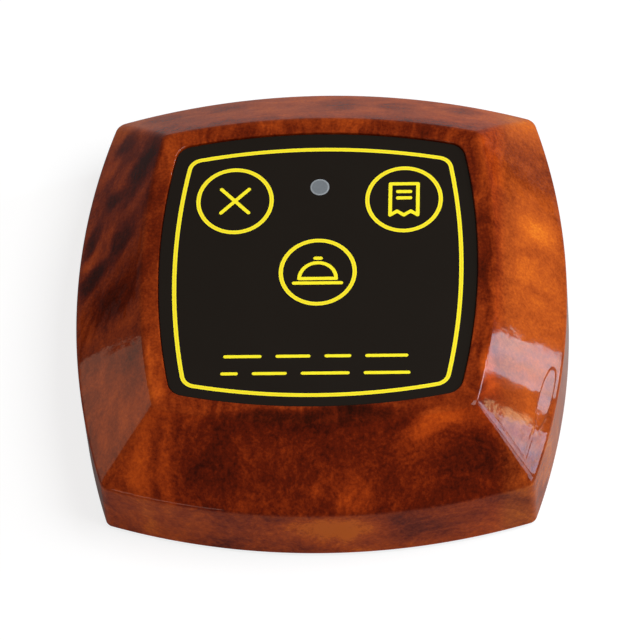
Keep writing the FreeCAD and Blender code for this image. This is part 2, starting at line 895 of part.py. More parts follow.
def make_battery_holder():
    """A trough that hangs under the board, open below, with a thumb cut-out in each side."""
    left, right = plus_x - d.contact_thickness, spring_x + d.contact_thickness
    middle, length = (left + right) / 2, right - left
    width = 2 * (d.battery_radius + d.holder_play)
    body = block("battery_holder", middle, d.battery_back, holder_z,
                 length + 2 * d.holder_wall, width + 2 * d.holder_wall, d.holder_height)
    trough = sketch(body, holder_z)
    rectangle(trough, middle, d.battery_back, length, width)
    pocket(body, trough, d.holder_height - d.holder_floor, upward=True)
    tail_holes = sketch(body, under_z)
    squares(tail_holes, tail_places, d.lead_hole)
    pocket(body, tail_holes, d.holder_floor)
    thumb = sketch(body, -(d.battery_back - width), "XZ_Plane")
    circle(thumb, d.battery_shift, holder_z, d.thumb_radius)
    pocket(body, thumb, 2 * width)
    return body


def make_contact(label, x):
    """A contact plate across the end of the trough, with a tail up through the board."""
    foot = cell_z - d.contact_width / 2
    body = block(label, x, d.battery_back, foot, d.contact_thickness, d.contact_width, cell_roof_z - foot)
    tail = sketch(body, foot)
    rectangle(tail, x, d.battery_back, d.contact_thickness, d.contact_tail)
    pad(body, tail, board_z + d.contact_thickness - foot)
    return body


def make_battery_spring():
    """A bowed leaf from the negative contact to the end of the cell."""
    body = new_body("battery_spring")
    drawing = sketch(body, -(d.battery_back + d.spring_width / 2), "XZ_Plane")
    reach, flat, skin = d.contact_width / 2, d.spring_flat / 2, d.spring_thickness
    back, front = spring_x, minus_x
    polygon(drawing, [(back - skin, cell_z - reach), (front, cell_z - flat), (front, cell_z + flat),
                      (back - skin, cell_z + reach), (back, cell_z + reach),
                      (front + skin, cell_z + flat), (front + skin, cell_z - flat),
                      (back, cell_z - reach)])
    pad(body, drawing, d.spring_width)
    return body


# ---------------------------------------------------------------------------------------------
# Assembly, checks and export
# ---------------------------------------------------------------------------------------------

nodes = [
    make_top_cover(),
    make_base_cover(),
    make_rubber_feet(),
    make_case_screws(),
    make_overlay_adhesive(),
    make_graphic_overlay(),
    make_led_window(),
    make_circuit_board(),
    make_antenna_track(),
    make_led_lens(),
    make_led_leads(),
    make_encoder_chip(),
    make_encoder_legs(),
    make_saw_resonator(),
    make_rf_transistor(),
    make_small_parts("chip_resistors", d.resistor_side, RESISTORS),
    make_small_parts("chip_capacitors", d.capacitor_side, CAPACITORS),
    make_battery(),
    make_battery_holder(),
    make_contact("battery_contact_plus", plus_tail_x),
    make_contact("battery_contact_minus", minus_tail_x),
    make_battery_spring(),
]
for key, (x, y) in KEYS.items():
    nodes += [
        make_key(f"{key}_key", x, y),
        make_switch_base(f"{key}_switch_base", x, y),
        make_switch_plate(f"{key}_switch_plate", x, y),
        make_switch_dome(f"{key}_switch_dome", x, y),
        make_switch_stem(f"{key}_switch_stem", x, y),
        make_switch_legs(f"{key}_switch_legs", x, y),
    ]
doc.recompute()

faults = [f"{thing.Label}: {thing.State}" for thing in doc.Objects
          if "Invalid" in thing.State or "Error" in thing.State]
faults += [f"{node.Label}: no valid shape" for node in nodes
           if node.Shape.isNull() or not node.Shape.isValid() or not node.Shape.Solids]
if faults:
    raise RuntimeError("\n".join(faults))

os.makedirs("parts", exist_ok=True)
for node in nodes:
    node.Shape.exportStep(f"parts/{node.Label}.step")
    box = node.Shape.BoundBox
    print(f"{node.Label:24} {len(node.Shape.Solids):2} solids {node.Shape.Volume:10.2f} mm3"
          f"  x {box.XMin:7.2f} {box.XMax:7.2f}  y {box.YMin:7.2f} {box.YMax:7.2f}"
          f"  z {box.ZMin:6.2f} {box.ZMax:6.2f}")
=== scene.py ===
# %% [markdown]
# # A waiter call button with a burl-wood finish
#
# This notebook dresses a table-top call button. The button is a square housing with bulged sides,
# sloped flanks and a flat top. A black printed film lies in a shallow recess of the top, and three
# yellow rings on it mark the press points. The construction comes ready-made as a fixed frame, with
# every piece at its real size, so here we only give the object its looks.

# %% Load the frame
import math

import bmesh
import bpy
import numpy as np
from mathutils import Matrix, Vector
from mathutils.geometry import delaunay_2d_cdt


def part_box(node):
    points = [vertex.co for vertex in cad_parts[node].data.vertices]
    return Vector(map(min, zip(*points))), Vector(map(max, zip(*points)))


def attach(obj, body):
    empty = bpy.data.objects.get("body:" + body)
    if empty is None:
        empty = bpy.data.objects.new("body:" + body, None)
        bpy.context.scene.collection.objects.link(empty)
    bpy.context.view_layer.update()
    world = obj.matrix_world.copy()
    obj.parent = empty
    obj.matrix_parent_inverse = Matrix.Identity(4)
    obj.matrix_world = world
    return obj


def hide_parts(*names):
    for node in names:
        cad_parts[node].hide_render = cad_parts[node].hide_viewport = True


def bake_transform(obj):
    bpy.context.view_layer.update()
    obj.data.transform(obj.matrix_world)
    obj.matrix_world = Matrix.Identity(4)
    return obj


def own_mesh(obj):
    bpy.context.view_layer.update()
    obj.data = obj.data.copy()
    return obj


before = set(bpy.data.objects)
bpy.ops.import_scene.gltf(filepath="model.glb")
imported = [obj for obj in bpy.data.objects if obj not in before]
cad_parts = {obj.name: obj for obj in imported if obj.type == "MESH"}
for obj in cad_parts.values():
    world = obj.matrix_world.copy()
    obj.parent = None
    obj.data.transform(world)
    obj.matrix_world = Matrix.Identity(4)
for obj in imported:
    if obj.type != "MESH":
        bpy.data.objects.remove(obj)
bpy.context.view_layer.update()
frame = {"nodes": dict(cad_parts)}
nodes = frame["nodes"]
MM = 0.001

# %% [markdown]
# ## Sizes
#
# Most sizes are read from the frame, so that a new piece always sits where the construction says.
# What a box can't tell, such as how strongly a side is bulged, is a value of its own. Everything is
# worked out in millimetres and turned into metres only when a mesh is made.


# %% Read the sizes from the frame
def box_mm(node):
    """The lowest and highest corner of a node, in millimetres."""
    low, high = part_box(node)
    return np.array(low) / MM, np.array(high) / MM


def middle_of(node):
    """The middle of a node, seen from above, in millimetres."""
    low, high = box_mm(node)
    return (low[:2] + high[:2]) / 2


case_low, case_high = box_mm("top_cover")
film_low, film_high = box_mm("graphic_overlay")
key_centres = {name: middle_of(f"{name}_key") for name in ("call", "cancel", "check")}
window_low, window_high = box_mm("led_window")
window_centre = middle_of("led_window")
window_radius = (window_high[0] - window_low[0]) / 2
print("housing, mm:", case_low.round(2), case_high.round(2))
print("film, mm:", film_low.round(2), film_high.round(2))

# %% [markdown]
# ## Helpers for meshes
#
# Most pieces of a moulded product are surfaces that can be written as a grid: one direction runs
# along a profile, the other runs round the outline. A grid of points becomes a mesh by joining each
# point to its neighbours. Pieces made from several patches are welded and get their faces turned
# outwards at the end.

# %% Grids, patches and finished pieces
SHARP_EDGE = math.radians(35)
WELD_REACH, SHORTEST_EDGE = 1e-7, 1e-8  # metres


def grid_faces(rows, columns, closed_section):
    """Four-sided faces between neighbours. The last column joins the first, and the last row too
    where the section that is carried round is itself a closed line."""
    row, column = np.meshgrid(np.arange(rows - (not closed_section)), np.arange(columns), indexing="ij")
    next_row, next_column = (row + 1) % rows, (column + 1) % columns
    corners = (row * columns + column, row * columns + next_column,
               next_row * columns + next_column, next_row * columns + column)
    return np.stack(corners, axis=-1).reshape(-1, 4)


def grid_patch(x, y, z, closed_section=False):
    """A patch from three arrays of the same shape: rows along the profile, columns round it."""
    x, y, z = np.broadcast_arrays(x, y, z)
    points = np.stack([x, y, z], axis=-1).reshape(-1, 3)
    return points, grid_faces(*x.shape, closed_section).tolist()


def piece(name, patches):
    """One object from patches: welded, closed, faces outwards, smooth except at sharp edges."""
    points, faces = [], []
    for patch_points, patch_faces in patches:
        start = sum(len(block) for block in points)
        points.append(np.asarray(patch_points) * MM)
        faces += [[start + corner for corner in face] for face in patch_faces]
    mesh = bpy.data.meshes.new(name)
    mesh.from_pydata(np.concatenate(points).tolist(), [], faces)
    work = bmesh.new()
    work.from_mesh(mesh)
    bmesh.ops.remove_doubles(work, verts=work.verts, dist=WELD_REACH)
    bmesh.ops.dissolve_degenerate(work, edges=work.edges, dist=SHORTEST_EDGE)
    bmesh.ops.recalc_face_normals(work, faces=work.faces)
    open_edges = sum(1 for edge in work.edges if len(edge.link_faces) != 2)
    work.to_mesh(mesh)
    work.free()
    mesh.shade_smooth()
    mesh.set_sharp_from_angle(angle=SHARP_EDGE)
    made = bpy.data.objects.new(name, mesh)
    bpy.context.scene.collection.objects.link(made)
    print(f"{name}: {len(mesh.polygons)} faces, {open_edges} open edges")
    return made


# %% [markdown]
# ## The bulged square
#
# Seen from above, the housing, its top edge and the film all have the same kind of outline: four
# long arcs, bulged outwards, with a small round corner between each two. Three numbers are enough
# for it: the half width at mid side, the radius of the sides and the radius of the corners.

# %% An outline of arcs, for one set of numbers or for many at once
PER_SIDE, PER_CORNER = 72, 9
HOLE_STEPS = 96
SAME_POINT = 1e-7  # mm, nearer points count as one


def bulged_outline(middle, arc, corner):
    """Points round a bulged square, counter-clockwise, one row for each set of numbers.

    A side is an arc about a centre that lies on its own axis, behind the middle of the square. A
    corner is an arc about a point of the diagonal, at which both circles just touch.
    """
    middle, arc, corner = (np.atleast_1d(np.asarray(value, float))[:, None]
                           for value in np.broadcast_arrays(middle, arc, corner))
    back = middle - arc
    turn = (back + np.sqrt(2 * (arc - corner) ** 2 - back ** 2)) / 2
    spread = np.arctan2(turn, turn - back)
    along = np.linspace(-1, 1, PER_SIDE)[None, :] * spread
    share = np.linspace(0, 1, PER_CORNER + 2)[None, 1:-1]
    around = spread + share * (math.pi / 2 - 2 * spread)
    x = np.concatenate([back + arc * np.cos(along), turn + corner * np.cos(around)], axis=1)
    y = np.concatenate([arc * np.sin(along), turn + corner * np.sin(around)], axis=1)
    quarters_x = [x, -y, -x, y]
    quarters_y = [y, x, -y, -x]
    return np.concatenate(quarters_x, axis=1), np.concatenate(quarters_y, axis=1)


def full_turn(steps):
    """Evenly spaced angles round a full turn, without the last one, which is the first again."""
    return np.arange(steps) * 2 * math.pi / steps


def circle_points(centre, radius):
    """Points round a hole."""
    angle = full_turn(HOLE_STEPS)
    return centre[0] + radius * np.cos(angle), centre[1] + radius * np.sin(angle)


def plate_patch(outline, z, holes=()):
    """A flat face inside an outline, with round holes given as (centre, radius)."""
    loops = [outline] + [circle_points(centre, radius) for centre, radius in holes]
    flat = np.concatenate([np.stack(loop, axis=-1) for loop in loops])
    edges, start = [], 0
    for loop in loops:
        length = len(loop[0])
        edges += [(start + step, start + (step + 1) % length) for step in range(length)]
        start += length
    found = delaunay_2d_cdt([Vector(point) for point in flat], edges, [], 0, SAME_POINT)
    points = np.array([[*point, z] for point in found[0]])
    faces = np.array(found[2])
    centres = points[faces][:, :, :2].mean(axis=1)
    kept = np.ones(len(faces), bool)
    for centre, radius in holes:
        kept &= np.hypot(*(centres - centre).T) > radius * math.cos(math.pi / HOLE_STEPS)
    return points, faces[kept].tolist()


def wall_patch(x, y, low, high):
    """An upright wall over a closed line of points, from one height to another."""
    return grid_patch(np.stack([x, x]), np.stack([y, y]), np.array([[low], [high]]))


# %% [markdown]
# ## The housing
#
# The real housing is one injection moulding that is printed with a burl-wood pattern and lacquered.
# It is a profile that is carried round the bulged outline. Where two flat flanks meet, the real
# edges are slightly round, and under gloss lacquer each round edge catches a fine line of light.
# So the profile has true fillets at the crease between skirt and flank, and at the top edge.

# %% Sizes of the housing, mm
FOOT_HALF, SKIRT_LEAN, SLOPE_HEIGHT = 43.0, 0.1, 11.4
CREASE_HALF, TOP_HALF = FOOT_HALF - SKIRT_LEAN, 30.6
SIDE_ARC, FOOT_CORNER, CREASE_CORNER, TOP_CORNER = 120.0, 1.7, 2.4, 1.4
FILM_HALF, FILM_ARC, FILM_CORNER, FILM_PLAY = 27.55, 112.0, 3.0, 0.15
RECESS_HALF, RECESS_ARC, RECESS_CORNER = (size + FILM_PLAY for size in (FILM_HALF, FILM_ARC, FILM_CORNER))
EDGE_Z, RIM_Z = case_low[2], case_high[2]
RECESS_DEPTH, TOP_WALL = 0.8, 2.4
CREASE_Z, FLOOR_Z, CEILING_Z = RIM_Z - SLOPE_HEIGHT, RIM_Z - RECESS_DEPTH, RIM_Z - TOP_WALL
KEY_HOLE, LIGHT_HOLE = 5.1, 1.75
# inside: the seat of the base cover, the hollow above it and the roof
SEAT_HALF, SEAT_Z, HOLLOW_HALF, HOLLOW_BEND_Z, ROOF_HALF = 41.9, 3.0, 40.7, 13.04, 29.95
HOLLOW_AXIS_BACK, HOLLOW_CORNER = 77.0, 0.8
# fillets, as the length of their tangents
CREASE_FILLET, TOP_FILLET, RECESS_FILLET = 0.45, 0.6, 0.25
FILLET_STEPS, LONGEST_RUN = 9, 1.2


# %% The profile: straight runs joined by fillets
def rounded_profile(corners, steps):
    """A line through corners given as (half width, height, length of the fillet's tangent).

    Each fillet is the arc that touches both runs at the tangent length from the corner. Its points
    are its first and last radius, blended by the sines of the angles that are left and covered.
    """
    points = np.array([corner[:2] for corner in corners])
    tangents = [corner[2] for corner in corners]
    line = [points[:1]]
    for before, here, after, tangent in zip(points[:-2], points[1:-1], points[2:], tangents[1:-1]):
        into = (before - here) / np.linalg.norm(before - here)
        out = (after - here) / np.linalg.norm(after - here)
        if tangent == 0:
            line.append(here[None, :])
            continue
        half_turn = math.acos(np.clip(-into @ out, -1, 1)) / 2
        radius = tangent / math.tan(half_turn)
        centre = here + (into + out) / np.linalg.norm(into + out) * radius / math.cos(half_turn)
        first, last = here + into * tangent - centre, here + out * tangent - centre
        share = np.linspace(0, 1, steps)[:, None]
        swing = 2 * half_turn
        arc = (np.sin((1 - share) * swing) * first + np.sin(share * swing) * last) / math.sin(swing)
        line.append(centre + arc)
    line.append(points[-1:])
    return np.concatenate(line)


def spaced(line, longest):
    """The same line with extra points on every run that is longer than a given length."""
    parts = []
    for start, end in zip(line[:-1], line[1:]):
        count = max(1, math.ceil(np.linalg.norm(end - start) / longest))
        parts.append(start + (end - start) * (np.arange(count) / count)[:, None])
    return np.concatenate(parts + [line[-1:]])


# %% The housing as one closed shell
def housing_outline(middle):
    """The housing's outline where its half width at mid side is `middle`.

    The sides keep their radius up the flanks, and turn a little rounder across the top edge
    towards the film. The corners are tightest at the foot and at the top edge.
    """
    halves = [RECESS_HALF, TOP_HALF, CREASE_HALF, FOOT_HALF]
    arc = np.interp(middle, halves, [RECESS_ARC, SIDE_ARC, SIDE_ARC - SKIRT_LEAN, SIDE_ARC])
    corner = np.interp(middle, halves, [RECESS_CORNER, TOP_CORNER, CREASE_CORNER, FOOT_CORNER])
    return bulged_outline(middle, arc, corner)


outer_line = rounded_profile([(FOOT_HALF, EDGE_Z, 0), (CREASE_HALF, CREASE_Z, CREASE_FILLET),
                              (TOP_HALF, RIM_Z, TOP_FILLET), (RECESS_HALF, RIM_Z, RECESS_FILLET),
                              (RECESS_HALF, FLOOR_Z, 0)], FILLET_STEPS)
outer_line = spaced(outer_line, LONGEST_RUN)
outer_x, outer_y = housing_outline(outer_line[:, 0])
outer_skin = grid_patch(outer_x, outer_y, outer_line[:, 1:])

inner_line = np.array([(ROOF_HALF, CEILING_Z), (HOLLOW_HALF, HOLLOW_BEND_Z), (HOLLOW_HALF, SEAT_Z),
                       (SEAT_HALF, SEAT_Z), (SEAT_HALF, EDGE_Z)])
inner_x, inner_y = bulged_outline(inner_line[:, 0], inner_line[:, 0] + HOLLOW_AXIS_BACK, HOLLOW_CORNER)
inner_skin = grid_patch(inner_x, inner_y, inner_line[:, 1:])
lower_edge = grid_patch(np.stack([inner_x[-1], outer_x[0]]), np.stack([inner_y[-1], outer_y[0]]), EDGE_Z)

openings = [(centre, KEY_HOLE) for centre in key_centres.values()] + [(window_centre, LIGHT_HOLE)]
recess_floor = plate_patch((outer_x[-1], outer_y[-1]), FLOOR_Z, openings)
ceiling = plate_patch((inner_x[0], inner_y[0]), CEILING_Z, openings)
throats = [wall_patch(*circle_points(centre, radius), CEILING_Z, FLOOR_Z) for centre, radius in openings]

housing = piece("housing_shell", [outer_skin, inner_skin, lower_edge, recess_floor, ceiling, *throats])
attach(housing, "housing")
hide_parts("top_cover")

# %% [markdown]
# ## The printed film
#
# The film is one thin sheet that gives way over each key. Here it is cut, under the yellow rings,
# into a main sheet and three round patches. The main sheet stays with the housing. Each patch is a
# flat disc over its own key. The cut is hidden under the ink of the ring.

# %% The main sheet
FILM_TOP, FILM_BOTTOM = film_high[2], film_low[2]
FILM_EDGE = 0.05
CUT_RADIUS = 6.4
WINDOW_PLAY = 0.05

film_line = np.array([(FILM_HALF, FILM_BOTTOM), (FILM_HALF, FILM_TOP - FILM_EDGE),
                      (FILM_HALF - FILM_EDGE, FILM_TOP)])
film_x, film_y = bulged_outline(film_line[:, 0], film_line[:, 0] + FILM_ARC - FILM_HALF,
                                film_line[:, 0] + FILM_CORNER - FILM_HALF)
cuts = [(centre, CUT_RADIUS) for centre in key_centres.values()]
cuts.append((window_centre, window_radius + WINDOW_PLAY))
sheet_top = plate_patch((film_x[-1], film_y[-1]), FILM_TOP, cuts)
sheet_bottom = plate_patch((film_x[0], film_y[0]), FILM_BOTTOM, cuts)
sheet_walls = [wall_patch(*circle_points(centre, radius), FILM_BOTTOM, FILM_TOP)
               for centre, radius in cuts]
film = piece("film_sheet", [grid_patch(film_x, film_y, film_line[:, 1:]), sheet_top, sheet_bottom,
                            *sheet_walls])
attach(film, "housing")
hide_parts("graphic_overlay")

# %% The three patches over the keys
CROWN_RADIUS, BEND_RADIUS = 4.8, 6.1
FLAT_RINGS, BEND_RINGS = 5, 9


def disc_patches(centre, radii, top, bottom):
    """A flat disc: rings of points from the middle outwards on top, and back in underneath."""
    reach = np.concatenate([radii, radii[::-1]])[:, None]
    height = np.repeat([top, bottom], len(radii))[:, None]
    return [grid_patch(*circle_points(centre, reach), height)]


def bend_over_key(obj, name):
    """Bake the piece's place into its points and work out how far each point lies from the key's axis.
    """
    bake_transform(obj)
    points = np.empty(len(obj.data.vertices) * 3)
    obj.data.vertices.foreach_get("co", points)
    away = np.hypot(*(points.reshape(-1, 3)[:, :2] / MM - key_centres[name]).T)


flat_radii = np.linspace(0, CROWN_RADIUS, FLAT_RINGS)
bend_radii = np.linspace(CROWN_RADIUS, CUT_RADIUS, BEND_RINGS)
radii = np.concatenate([flat_radii, bend_radii[1:]])
film_patches = []
for name, centre in key_centres.items():
    patch = piece(f"film_over_{name}_key", disc_patches(centre, radii, FILM_TOP, FILM_BOTTOM))
    bend_over_key(patch, name)
    film_patches.append(patch)

# %% [markdown]
# ## The print
#
# The yellow lines are screen-printed: a layer of ink that stands two hundredths of a millimetre
# proud. A line is a strip with a closed section that is carried round its path. Each strip also
# stores how far a point lies from the line's middle, because the ink is a little deeper in the
# middle of the line and has a thin blue-black edge.

# %% Closed lines of ink
INK_HEIGHT = 0.02
LINE_HALF, LINE_EDGE = 0.33, 0.2
section = np.array([(-1, 0), (-0.999, 1), (-0.66, 1), (-0.33, 1), (0, 1), (0.33, 1), (0.66, 1), (0.999, 1),
                    (1, 0), (0, 0)])
across, raised = section[:, :1] * (LINE_HALF + LINE_EDGE), section[:, 1:] * INK_HEIGHT


def ink_line(name, x, y):
    """A closed line of ink: one row of points for each point of the section."""
    line = piece(name, [grid_patch(x, y, FILM_TOP + raised, closed_section=True)])
    from_middle = np.repeat(np.abs(across), x.shape[1])
    line.data.attributes.new("from_middle", "FLOAT", "POINT").data.foreach_set("value", from_middle)
    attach(line, "housing")
    return line


BORDER_HALF, BORDER_ARC, BORDER_CORNER, BORDER_SHIFT = 24.85, 112.0, 2.4, -0.5
border_x, border_y = bulged_outline(*(size + across[:, 0]
                                      for size in (BORDER_HALF, BORDER_ARC, BORDER_CORNER)))
ink = [ink_line("border_line", border_x, border_y + BORDER_SHIFT)]
RING_STEPS = 128
ring_reach, ring_turn = CUT_RADIUS + across, full_turn(RING_STEPS)
ring_x, ring_y = ring_reach * np.cos(ring_turn), ring_reach * np.sin(ring_turn)
for name, centre in key_centres.items():
    ink.append(ink_line(f"ring_{name}", centre[0] + ring_x, centre[1] + ring_y))

# %% [markdown]
# ## Signs instead of words
#
# Each ring holds a sign that is drawn with one pen width, as on many appliances: a bell for calling,
# a cross for cancelling and a bill for paying. Below them stand two rows of dashes. A sign is made of
# strokes with round ends, whose points are given in millimetres from the middle of the ring. All
# outlines of its strokes go into one flat triangulation, and the triangles that lie on a stroke are
# kept, so that crossing strokes become one shape.

# %% Strokes with round ends, joined into one flat solid
STROKE_END_STEPS = 10
SAME_STROKE_POINT = 1e-6  # mm


def capsule(start, end, half_width):
    """The outline of a stroke: a half circle round each end."""
    heading = math.atan2(end[1] - start[1], end[0] - start[0])
    fan = heading + math.pi / 2 + np.linspace(0, math.pi, STROKE_END_STEPS)
    half_circle = half_width * np.stack([np.cos(fan), np.sin(fan)], axis=-1)
    return np.concatenate([start + half_circle, end - half_circle])


def distance_to_strokes(points, strokes):
    """How far each point is from the nearest stroke's middle line."""
    starts, ends = strokes[:, 0], strokes[:, 1]
    run = ends - starts
    offset = points[:, None] - starts
    share = np.clip((offset * run).sum(-1) / (run * run).sum(-1), 0, 1)
    return np.linalg.norm(offset - share[..., None] * run, axis=-1).min(axis=1)


def stroke_patches(strokes, half_width, low, high):
    """Top, bottom and side walls of all strokes together."""
    flat, edges = [], []
    for start, end in strokes:
        outline = capsule(start, end, half_width)
        first = sum(len(block) for block in flat)
        edges += [(first + step, first + (step + 1) % len(outline)) for step in range(len(outline))]
        flat.append(outline)
    found = delaunay_2d_cdt([Vector(point) for point in np.concatenate(flat)], edges, [], 0,
                            SAME_STROKE_POINT)
    points, faces = np.array([tuple(point) for point in found[0]]), np.array(found[2])
    middles = points[faces].mean(axis=1)
    faces = faces[distance_to_strokes(middles, strokes) < half_width]
    sides = np.concatenate([faces[:, [0, 1]], faces[:, [1, 2]], faces[:, [2, 0]]])
    directed = {tuple(side) for side in sides.tolist()}
    rim = np.array([side for side in directed if side[::-1] not in directed])
    count = len(points)
    walls = np.stack([rim[:, 0], rim[:, 1], rim[:, 1] + count, rim[:, 0] + count], axis=-1)
    solid = np.concatenate([np.c_[points, np.full(count, low)], np.c_[points, np.full(count, high)]])
    return [(solid, faces.tolist() + (faces + count).tolist() + walls.tolist())]


def arc_strokes(centre, radius, start, end, steps):
    """Strokes that follow an arc, angles in degrees."""
    angle = np.radians(np.linspace(start, end, steps + 1))
    points = np.array(centre) + radius * np.stack([np.cos(angle), np.sin(angle)], axis=-1)
    return np.stack([points[:-1], points[1:]], axis=1)


def path_strokes(*points):
    """Strokes from point to point."""
    points = np.array(points, float)
    return np.stack([points[:-1], points[1:]], axis=1)


# %% The three signs and the rows of dashes
SIGN_PEN = 0.32
bell = np.concatenate([arc_strokes((0, -1.3), 3.2, 0, 180, 16), path_strokes((-4.1, -2.2), (4.1, -2.2)),
                       path_strokes((-0.5, 2.8), (0.5, 2.8)), path_strokes((-3.2, -1.3), (3.2, -1.3))])
cross = np.concatenate([path_strokes((-2.4, -2.4), (2.4, 2.4)), path_strokes((-2.4, 2.4), (2.4, -2.4))])
bill = np.concatenate([
    path_strokes((-2.4, -3.2), (-2.4, 3.2), (2.4, 3.2), (2.4, -3.2), (1.2, -2.4), (0, -3.2), (-1.2, -2.4),
                 (-2.4, -3.2)),
    path_strokes((-1.1, 1.6), (1.1, 1.6)), path_strokes((-1.1, 0.3), (1.1, 0.3))])


def plain_ink(obj):
    """Mark a sign as all of one ink: every point is halfway between a line's middle and its edge."""
    values = np.full(len(obj.data.vertices), LINE_HALF / 2, np.float32)
    obj.data.attributes.new("from_middle", "FLOAT", "POINT").data.foreach_set("value", values)


INK_TOP = FILM_TOP + INK_HEIGHT
for name, sign in (("call", bell), ("cancel", cross), ("check", bill)):
    shape = piece(f"sign_{name}", stroke_patches(sign + key_centres[name], SIGN_PEN, FILM_TOP, INK_TOP))
    plain_ink(shape)
    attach(shape, f"{name}_press_point")
    ink.append(shape)

# each row's place along y, and the lengths of its dashes
DASH_ROWS = ((-17.6, (6.6, 6.0, 4.6, 7.4)), (-21.0, (3.0, 6.0, 8.4, 8.0)))
DASH_GAP, DASH_PEN = 2.4, 0.3
dashes = []
for row_y, lengths in DASH_ROWS:
    start_x = -(sum(lengths) + DASH_GAP * (len(lengths) - 1)) / 2
    for length in lengths:
        dashes.append(((start_x + DASH_PEN, row_y), (start_x + length - DASH_PEN, row_y)))
        start_x += length + DASH_GAP
dash_rows = piece("dash_rows", stroke_patches(np.array(dashes), DASH_PEN, FILM_TOP, INK_TOP))
plain_ink(dash_rows)
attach(dash_rows, "housing")
ink.append(dash_rows)

# %% [markdown]
# ## The window over the light
#
# The light shines through a round window of smoky clear film. It is a flat disc with a slightly
# rounded edge: a profile turned about the window's own axis.

# %% The window disc
WINDOW_STEPS = 64
window_line = np.array([(0, FILM_BOTTOM), (window_radius, FILM_BOTTOM), (window_radius, FILM_TOP - 0.06),
                        (window_radius - 0.02, FILM_TOP - 0.02), (window_radius - 0.07, FILM_TOP),
                        (window_radius * 0.8, FILM_TOP), (window_radius * 0.4, FILM_TOP), (0, FILM_TOP)])
window_turn = full_turn(WINDOW_STEPS)
window = piece("window_disc", [grid_patch(window_centre[0] + window_line[:, :1] * np.cos(window_turn),
                                          window_centre[1] + window_line[:, :1] * np.sin(window_turn),
                                          window_line[:, 1:])])
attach(window, "housing")
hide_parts("led_window")

# %% [markdown]
# ## The snap springs
#
# Under each key sits a switch whose bowed steel spring clicks as it gives way. The frame has it as a
# bent strip that doesn't move. Its ends close onto the line in the middle of its thickness.

# %% Three bowed strips
SNAP_THICKNESS, SNAP_STEPS, SNAP_KEEP = 0.1, 33, 0.4
springs = []
for name in key_centres:
    spring_low, spring_high = box_mm(f"{name}_switch_dome")
    along = np.linspace(spring_low[0], spring_high[0], SNAP_STEPS)
    swing = (1 + np.cos(np.linspace(-math.pi, math.pi, SNAP_STEPS))) / 2
    bottom = spring_low[2] + swing * (spring_high[2] - spring_low[2] - SNAP_THICKNESS)
    inside = bottom + SNAP_THICKNESS / 2
    round_section = np.concatenate([bottom + SNAP_THICKNESS, bottom[::-1]])
    flat_section = np.concatenate([inside, inside[::-1]])
    there_and_back = np.concatenate([along, along[::-1]])
    sides = np.repeat([[spring_low[1]], [spring_high[1]]], 2, axis=0)
    heights = np.stack([flat_section, round_section, round_section, flat_section])
    spring = piece(f"snap_spring_{name}", [grid_patch(there_and_back, sides, heights)])
    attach(spring, "housing")
    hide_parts(f"{name}_switch_dome")
    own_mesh(spring)
    springs.append(spring)

# %% [markdown]
# ## Shader maths
#
# A procedural material is a formula. Writing it node by node is long and hard to read, so one small
# class wraps a node's output and gives it Python's operators. An expression such as
# `1 - (spots + streaks) * 0.5` then adds the Math nodes by itself. Every other node comes from one
# method, which takes the node's settings and the values or links of its inputs.


# %% A socket that understands arithmetic
class Wire:
    """An output of a node, with its node tree. Arithmetic on it adds Math nodes."""

    def __init__(self, tree, socket):
        self.tree, self.socket = tree, socket

    def node(self, kind, inputs, output=0, stops=None, **settings):
        """Add a node: its settings first, then a value or a link for each input."""
        made = self.tree.nodes.new(kind)
        for name, value in settings.items():
            setattr(made, name, value)
        if stops:
            elements = made.color_ramp.elements
            while len(elements) < len(stops):
                elements.new(0.5)
            for element, (place, colour) in zip(elements, stops):
                element.position = place
                element.color = colour
        for name, value in inputs.items():
            if isinstance(value, Wire):
                self.tree.links.new(value.socket, made.inputs[name])
            else:
                made.inputs[name].default_value = value
        return Wire(self.tree, made.outputs[output])

    def maths(self, operation, *values):
        """A Math node on these values."""
        return self.node("ShaderNodeMath", dict(enumerate(values)), operation=operation)

    def __add__(self, other):
        return self.maths("ADD", self, other)

    def __sub__(self, other):
        return self.maths("SUBTRACT", self, other)

    def __rsub__(self, other):
        return self.maths("SUBTRACT", other, self)

    def __mul__(self, other):
        return self.maths("MULTIPLY", self, other)

    __radd__, __rmul__ = __add__, __mul__

    def between(self, low, high):
        """0 up to `low`, 1 from `high`, and a smooth step between them. Works downwards too."""
        return self.node("ShaderNodeMapRange", {"Value": self, "From Min": low, "From Max": high},
                         interpolation_type="SMOOTHSTEP")

    def noise(self, size, detail=2.0, roughness=0.5, output=0):
        """Soft random values from 0 to 1, on a position in mm. `size` is the width of a blotch in mm."""
        return self.node("ShaderNodeTexNoise", {"Vector": self, "Scale": 1 / size, "Detail": detail,
                                                "Roughness": roughness}, output)

    def mix(self, first, second):
        """The first colour where this value is 0, the second where it is 1."""
        return self.node("ShaderNodeMix", {0: self, 6: first, 7: second}, 2, data_type="RGBA")


def srgb(red, green, blue):
    """A colour given as a screen shows it, 0 to 255, turned into linear light."""
    shares = np.array([red, green, blue]) / 255
    linear = np.where(shares <= 0.04045, shares / 12.92, ((shares + 0.055) / 1.055) ** 2.4)
    return (*linear.tolist(), 1.0)


